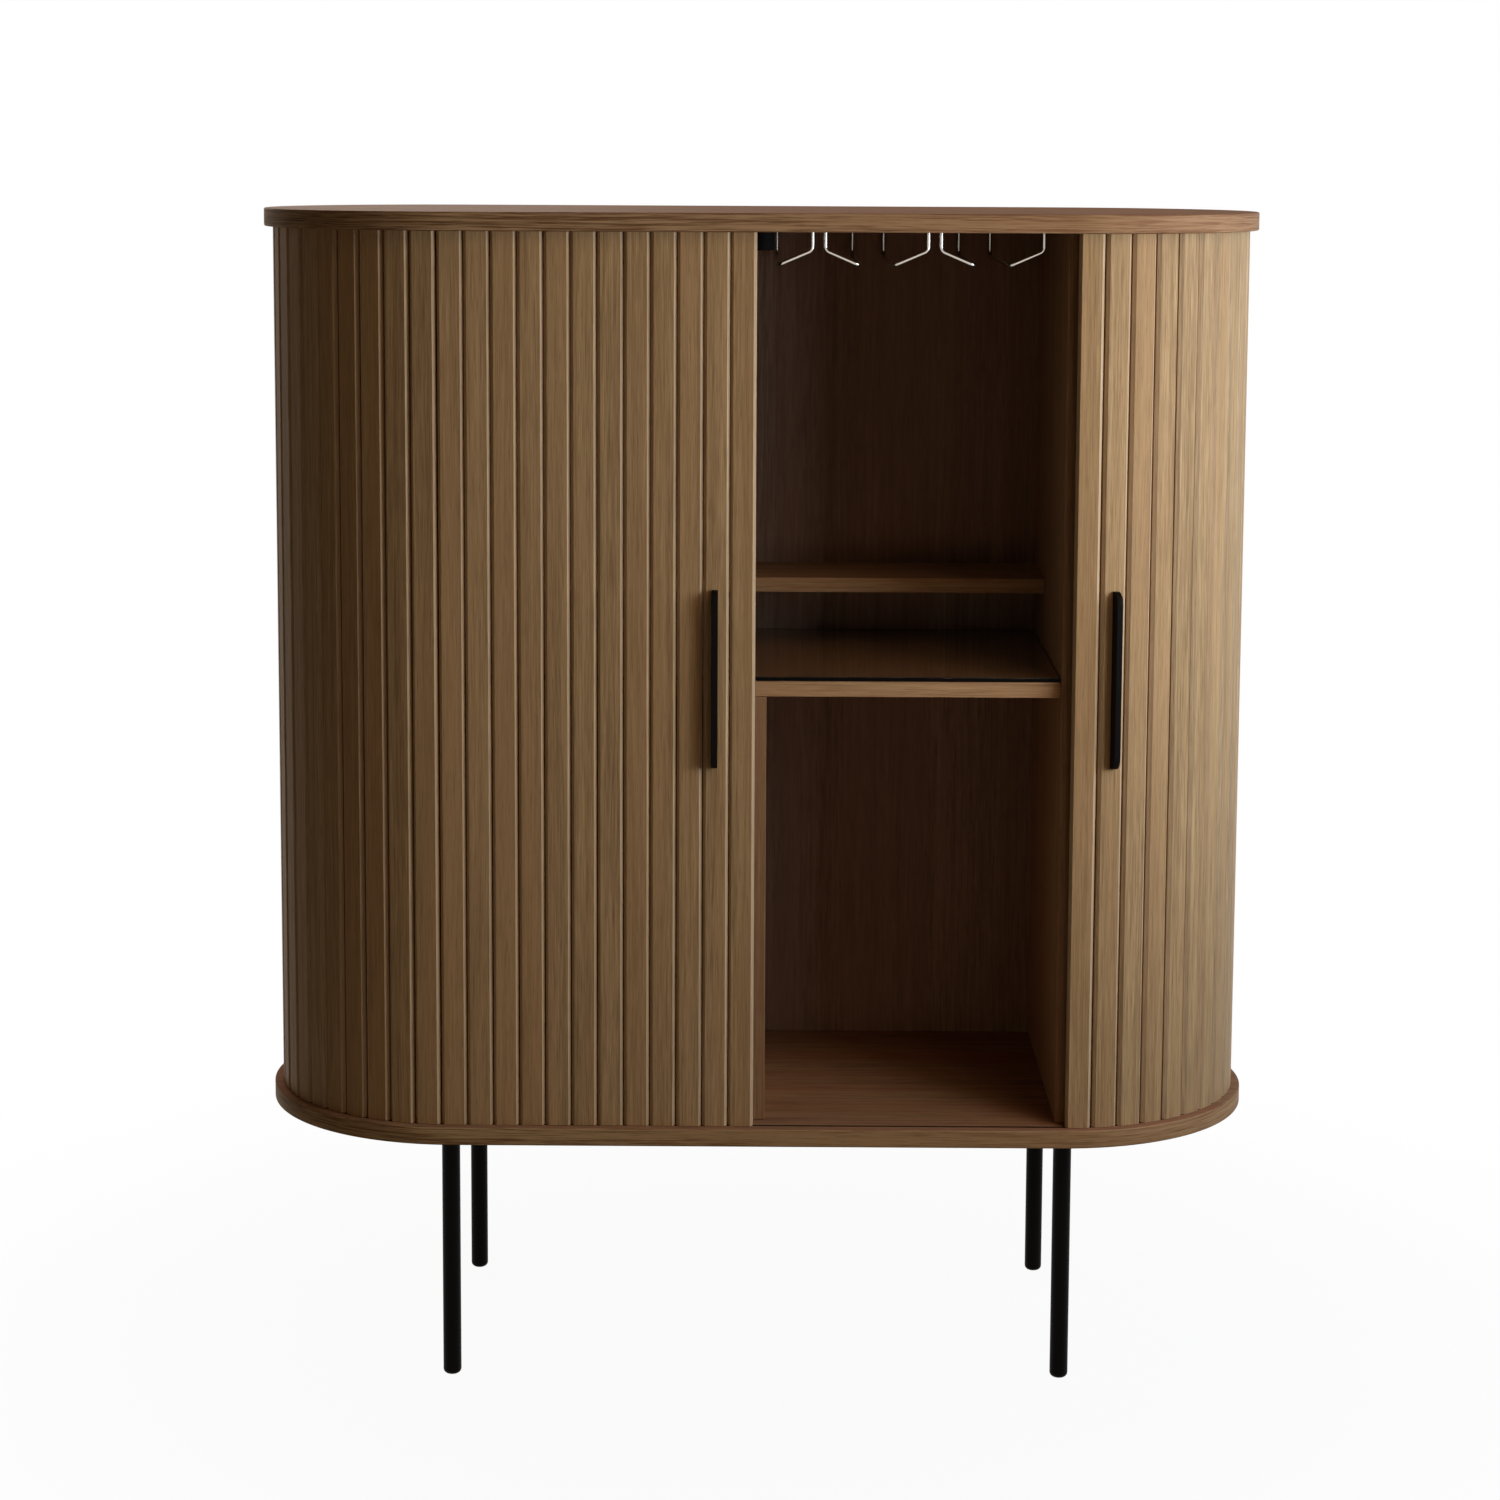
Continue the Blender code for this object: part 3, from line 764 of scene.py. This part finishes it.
# Glass plate: 4 mm smoked float glass that lies loose on the middle shelf, its edges ground and
# polished, so that bottles and wet glasses don't mark the veneer.
GLASS_ROUNDING = 0.0005
GLASS_ROUNDING_STEPS = 3
GLASS_IOR = 1.52
GLASS_ROUGHNESS = (0.015, 0.07)
SMEARS_PER_METRE = 14.0
SMEAR_SWIRL = 1.2
GLASS_EDGE_PLACE = 1

# Glass that is smoked in the melt looks clear, even and slightly brown.
smoked_glass, tree, shader = new_material("smoked_float_glass")
place = add_node(tree, "ShaderNodeTexCoord", {}).outputs["Object"]
# Wiping leaves faint broad smears, which only dull the shine a little.
smears = add_node(
    tree,
    "ShaderNodeTexNoise",
    {"Vector": place, "Scale": SMEARS_PER_METRE, "Detail": 4.0, "Distortion": SMEAR_SWIRL},
).outputs["Fac"]
rough = add_node(
    tree,
    "ShaderNodeMapRange",
    {"Value": smears, "To Min": GLASS_ROUGHNESS[0], "To Max": GLASS_ROUGHNESS[1]},
).outputs[0]
tree.links.new(rough, shader.inputs["Roughness"])
shader.inputs["Base Color"].default_value = colour("#cbc5bd")
shader.inputs["Transmission Weight"].default_value = 1.0
shader.inputs["IOR"].default_value = GLASS_IOR
# The lamps' light goes on through the plate to the shelf, dimmed at each of its two faces.
clear = add_node(tree, "ShaderNodeBsdfTransparent", {"Color": colour("#e2ded8")})
path = add_node(tree, "ShaderNodeLightPath", {})
pane = add_node(
    tree,
    "ShaderNodeMixShader",
    {0: path.outputs["Is Shadow Ray"], 1: shader.outputs[0], 2: clear.outputs[0]},
)
tree.links.new(pane.outputs[0], tree.nodes["Material Output"].inputs["Surface"])

# Seen into its edge, smoked glass is black: the light is lost in a hand's breadth of it.
glass_edge = black_finish("ground_edge_of_smoked_glass", "#090706", 0.35, 0.02, 0.6, 0.00001)

bm = eased_block(*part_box("glass_plate"), GLASS_ROUNDING, GLASS_ROUNDING_STEPS)
bm.normal_update()
for face in bm.faces:
    if abs(face.normal.z) <= FLAT_NORMAL:
        face.material_index = GLASS_EDGE_PLACE
piece = add_piece("glass_plate_polished", bm, smoked_glass, glass_edge)
stand_for(piece, "glass_plate")


# Stemware rails: each is one bent steel wire, nickel-chrome plated. Its ends go up into the top
# panel at the front, and its back loop lies against the panel. Glasses hang between the two runs.
WIRE_RADIUS = 0.002
WIRE_BEND = 0.006
WIRE_BEND_STEPS = 10
WIRE_ROUND_STEPS = 6
ARM_LEVEL_DROP = 0.0187
SLOT_SPREAD = 0.033
WIRE_ROUGHNESS = (0.14, 0.30)
WIRE_PATCHES_PER_METRE = 260.0

# Nickel-chrome plate is bright and slightly warm, and its shine varies in patches of a few
# millimetres, as the drawn wire under it does.
plated_wire, tree, shader = new_material("chrome_plated_wire")
place = add_node(tree, "ShaderNodeTexCoord", {}).outputs["Object"]
drawn = add_node(
    tree,
    "ShaderNodeTexNoise",
    {"Vector": place, "Scale": WIRE_PATCHES_PER_METRE, "Detail": 3.0},
).outputs["Fac"]
rough = add_node(
    tree,
    "ShaderNodeMapRange",
    {"Value": drawn, "To Min": WIRE_ROUGHNESS[0], "To Max": WIRE_ROUGHNESS[1]},
).outputs[0]
tree.links.new(rough, shader.inputs["Roughness"])
shader.inputs["Base Color"].default_value = colour("#b9b2a9")
shader.inputs["Metallic"].default_value = 1.0


def rounded_path(corners, radius, steps):
    """A path through the corners, with each inner corner replaced by an arc."""
    path = [corners[0]]
    for before, corner, after in zip(corners, corners[1:], corners[2:]):
        back = (before - corner).normalized()
        onward = (after - corner).normalized()
        half_angle = back.angle(onward) / 2
        hub = corner + (back + onward).normalized() * radius / math.sin(half_angle)
        start = corner + back * radius / math.tan(half_angle) - hub
        end = corner + onward * radius / math.tan(half_angle) - hub
        for step in range(steps + 1):
            path.append(hub + start.slerp(end, step / steps).normalized() * radius)
    return path + [corners[-1]]


for node in sorted(name for name in frame["nodes"] if name.startswith("glass_rail")):
    low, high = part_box(node)
    middle_x = (low.x + high.x) / 2
    arm = (high.x - low.x) / 2 - WIRE_RADIUS
    slot = SLOT_SPREAD / 2
    front = low.y + WIRE_RADIUS
    rear = high.y - WIRE_RADIUS
    run_level = low.z + WIRE_RADIUS
    half_wire = [
        Vector((arm, front, high.z)),
        Vector((arm, front, high.z - ARM_LEVEL_DROP)),
        Vector((slot, front, run_level)),
        Vector((slot, rear, run_level)),
        Vector((slot, rear, high.z - WIRE_RADIUS)),
    ]
    corners = half_wire + [Vector((-point.x, point.y, point.z)) for point in reversed(half_wire)]
    path = rounded_path(corners, WIRE_BEND, WIRE_BEND_STEPS)
    curve = bpy.data.curves.new(f"{node}_bent_wire", "CURVE")
    curve.dimensions = "3D"
    curve.bevel_depth = WIRE_RADIUS
    curve.bevel_resolution = WIRE_ROUND_STEPS
    curve.use_fill_caps = True
    spline = curve.splines.new("POLY")
    spline.points.add(len(path) - 1)
    for point, target in zip(spline.points, path):
        point.co = (target.x + middle_x, target.y, target.z, 1)
    spline.use_smooth = True
    curve.materials.append(plated_wire)
    piece = bpy.data.objects.new(f"{node}_bent_wire", curve)
    bpy.context.scene.collection.objects.link(piece)
    stand_for(piece, node)


# Roll-front doors: upright slats of veneered board, their front edges chamfered, glued side by side
# to a strip of canvas that bends between them. Each stretch of door rides on its own body.
SLAT_WIDTH = 0.0246
SLAT_THICKNESS = 0.0075
SLAT_CHAMFER = 0.0027
CHAMFER_SLOPE = 1.35
CHAMFER_NORMAL = 0.3
SLAT_SEED = 1000
SLAT_SEEDS_PER_NODE = 40
# The front faces of the solids' slats are 20 mm wide, and their backs are wider.
SLAT_FACE_SPAN = (0.0185, 0.0212)
BACKWARD = -0.5
CANVAS_THICKNESS = 0.0007
CANVAS_THREAD_MM = 1.2
CANVAS_WOBBLE = 0.6
CANVAS_RELIEF = 0.0002
CANVAS_SEED = 5000
FLAT_ANGLE = math.radians(0.5)
# Places in a door piece's list of materials
CANVAS_PLACE, PAINTED_HIGHLIGHT_PLACE = 1, 2

# The slats are paler and yellower than the panels.
slat_wood = veneer(
    "stained_oak_veneer_slat", "#8d6c46", "#c39b69", "#aa7f52", "#6a4c2f", 1.35, 0.05, 0.5
)
# The chamfers are painted paler than the faces: a painted highlight that brightens the chamfer
# lines.
chamfer_wood_painted_highlight = veneer(
    "stained_oak_slat_chamfer_painted_highlight", "#9f815d", "#d5b58b", "#bd9971", "#795c42", 1.2, 0.05, 0.5
)

# Plain weave of threads about half a millimetre thick, drawn here at 1.2 mm so that it shows. A
# wave node goes through twenty radians in each unit of its scaled place.
canvas_cloth, tree, shader = new_material("brown_cotton_canvas")
weave_place = add_node(tree, "ShaderNodeAttribute", {}, attribute_name="grain").outputs["Vector"]
weave_scale = math.tau / 20 * 1000 / CANVAS_THREAD_MM
threads = []
for axis in ("X", "Z"):
    threads.append(
        add_node(
            tree,
            "ShaderNodeTexWave",
            {"Vector": weave_place, "Scale": weave_scale, "Distortion": CANVAS_WOBBLE},
            bands_direction=axis,
        ).outputs["Fac"]
    )
weave = add_node(
    tree, "ShaderNodeMath", {0: threads[0], 1: threads[1]}, operation="MULTIPLY"
).outputs[0]
cloth = add_node(
    tree,
    "ShaderNodeMix",
    {MIX_FACTOR: weave, MIX_FIRST: colour("#38220e"), MIX_SECOND: colour("#6e4826")},
    data_type="RGBA",
).outputs[MIX_RESULT]
bump = add_node(
    tree, "ShaderNodeBump", {"Height": weave, "Strength": 0.5, "Distance": CANVAS_RELIEF}
)
tree.links.new(cloth, shader.inputs["Base Color"])
tree.links.new(bump.outputs[0], shader.inputs["Normal"])
shader.inputs["Roughness"].default_value = 0.95
shader.inputs["Specular IOR Level"].default_value = 0.05


def merged_copy(node):
    """A bmesh of a node's loose triangles, with its points joined and its flat faces whole."""
    bm = bmesh.new()
    bm.from_mesh(frame["nodes"][node].data)
    bmesh.ops.remove_doubles(bm, verts=bm.verts, dist=MERGE_DISTANCE)
    bmesh.ops.dissolve_limit(bm, angle_limit=FLAT_ANGLE, verts=bm.verts, edges=bm.edges)
    bm.normal_update()
    return bm


def slat_fronts(bm, height):
    """The middle and the outward direction of each slat's front face in a stretch of door."""
    fronts = []
    for face in bm.faces:
        span = face.calc_area() / height
        if SLAT_FACE_SPAN[0] < span < SLAT_FACE_SPAN[1]:
            fronts.append((face.calc_center_bounds(), face.normal.copy()))
    return fronts


def pour(source, bm):
    """Adds the whole of one bmesh to another, and frees it."""
    mesh = bpy.data.meshes.new("poured")
    source.to_mesh(mesh)
    source.free()
    bm.from_mesh(mesh)
    bpy.data.meshes.remove(mesh)


def add_slat(bm, middle, outward, height, seed):
    """One slat with its front face's middle at a point and its front edges chamfered.

    It is bevelled evenly while thin and then stretched in depth, so its chamfers end up steep.
    """
    part = bmesh.new()
    size = Vector((SLAT_WIDTH, SLAT_THICKNESS / CHAMFER_SLOPE, height))
    place = Matrix.Translation((0, size.y / 2, 0)) @ Matrix.Diagonal((*size, 1))
    bmesh.ops.create_cube(part, size=1, matrix=place)
    front_edges = [
        edge for edge in part.edges
        if all(vert.co.y < size.y / 2 for vert in edge.verts)
        and abs(edge.verts[0].co.z - edge.verts[1].co.z) > height / 2
    ]
    ease(part, front_edges, SLAT_CHAMFER, 1)
    bmesh.ops.scale(part, verts=part.verts, vec=Vector((1, CHAMFER_SLOPE, 1)))
    lay_grain(part, upright_grain, seed)
    for face in part.faces:
        # The chamfer faces get the paler wood, which paints a highlight on them.
        if min(abs(face.normal.x), abs(face.normal.y)) > CHAMFER_NORMAL:
            face.material_index = PAINTED_HIGHLIGHT_PLACE
    across = Vector((0, 0, 1)).cross(-outward)
    turn = Matrix((-across, -outward, Vector((0, 0, 1)))).transposed()
    bmesh.ops.transform(part, matrix=Matrix.Translation(middle) @ turn.to_4x4(), verts=part.verts)
    pour(part, bm)


door_nodes = [name for name in frame["nodes"] if "_door_" in name]
for number, node in enumerate(sorted(door_nodes)):
    low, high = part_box(node)
    height = high.z - low.z
    solid = merged_copy(node)
    fronts = slat_fronts(solid, height)
    if not fronts:
        raise SystemExit(f"no slat found on {node}")
    bm = bmesh.new()
    for order, (middle, outward) in enumerate(fronts):
        seed = SLAT_SEED + SLAT_SEEDS_PER_NODE * number + order
        add_slat(bm, middle, outward, height, seed)

    facing = sum((outward for _, outward in fronts), Vector()).normalized()
    backs = [
        face for face in solid.faces
        if face.normal.dot(facing) < BACKWARD and face.calc_area() / height > SLAT_FACE_SPAN[1]
    ]
    others = [face for face in solid.faces if face not in backs]
    bmesh.ops.delete(solid, geom=others, context="FACES")
    bmesh.ops.solidify(solid, geom=solid.faces[:], thickness=CANVAS_THICKNESS)
    lay_grain(solid, upright_grain, CANVAS_SEED + number)
    for face in solid.faces:
        face.material_index = CANVAS_PLACE
    pour(solid, bm)
    piece = add_piece(f"{node}_slats_on_canvas", bm, slat_wood, canvas_cloth, chamfer_wood_painted_highlight)
    stand_for(piece, node)


# Handles: a flat steel bar on edge, screwed from behind to the second slat of each door. Its front
# corners are rounded off, its arrises eased, and it is powder-coated like the legs.
HANDLE_CORNER = 0.012
HANDLE_CORNER_STEPS = 20
HANDLE_EASING = 0.0007
HANDLE_EASING_STEPS = 3

for node in ("left_handle", "right_handle"):
    solid = merged_copy(node)
    side = max(solid.faces, key=lambda face: face.calc_area())
    across = side.normal.copy()
    outward = across.cross(Vector((0, 0, 1)))
    if outward.y > 0:
        outward = -outward
    reach = {}
    for label, direction in (("across", across), ("outward", outward), ("up", Vector((0, 0, 1)))):
        spans = [vert.co.dot(direction) for vert in solid.verts]
        reach[label] = (min(spans), max(spans))
    solid.free()
    root, tip = reach["outward"]
    low_z, high_z = reach["up"]
    upper = (tip - HANDLE_CORNER, high_z - HANDLE_CORNER)
    lower = (tip - HANDLE_CORNER, low_z + HANDLE_CORNER)
    outline = [(root, low_z), (root, high_z)]
    outline += quarter(upper, HANDLE_CORNER, UP, CLOCKWISE, HANDLE_CORNER_STEPS)
    outline += quarter(lower, HANDLE_CORNER, OUT, CLOCKWISE, HANDLE_CORNER_STEPS)
    bm = bmesh.new()
    verts = [
        bm.verts.new(across * reach["across"][0] + outward * out + Vector((0, 0, z)))
        for out, z in outline
    ]
    grown = bmesh.ops.extrude_face_region(bm, geom=[bm.faces.new(verts)])["geom"]
    thickness = reach["across"][1] - reach["across"][0]
    bmesh.ops.translate(bm, verts=points_of(grown), vec=across * thickness)
    rim = [
        edge for edge in bm.edges
        if abs((edge.verts[0].co - edge.verts[1].co).dot(across)) < thickness / 2
    ]
    ease(bm, rim, HANDLE_EASING, HANDLE_EASING_STEPS)
    bmesh.ops.recalc_face_normals(bm, faces=bm.faces)
    stand_for(add_piece(f"{node}_bar", bm, black_coat), node)


# Door buffer: a round block of moulded black rubber under the top panel, which both leading slats
# meet when the doors are shut. One screw holds it from below.
BUFFER_ROUNDING = 0.002
BUFFER_ROUNDING_STEPS = 6
BUFFER_STEPS = 48
BORE_RADIUS = 0.0045
BORE_DEPTH = 0.004
BORE_EASING = 0.0005
BORE_EASING_STEPS = 3

# Moulded rubber is duller than the paint, and its grain is coarser and shallower.
black_rubber = black_finish("moulded_black_rubber", "#0b0807", 0.7, 0.03, 2.5, 0.00005)

low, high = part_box("door_buffer")
radius = (high.x - low.x) / 2
bore_top = low.z + BORE_DEPTH
bore_edge = (BORE_RADIUS + BORE_EASING, low.z + BORE_EASING)
outer_edge = (radius - BUFFER_ROUNDING, low.z + BUFFER_ROUNDING)
profile = [(0, bore_top), (BORE_RADIUS, bore_top)]
profile += quarter(bore_edge, BORE_EASING, IN, ANTICLOCKWISE, BORE_EASING_STEPS)
profile += quarter(outer_edge, BUFFER_ROUNDING, DOWN, ANTICLOCKWISE, BUFFER_ROUNDING_STEPS)
profile += [(radius, high.z), (0, high.z)]
bm = bmesh.new()
turned(bm, profile, (low + high) / 2, BUFFER_STEPS)
stand_for(add_piece("door_buffer_moulded", bm, black_rubber), "door_buffer")
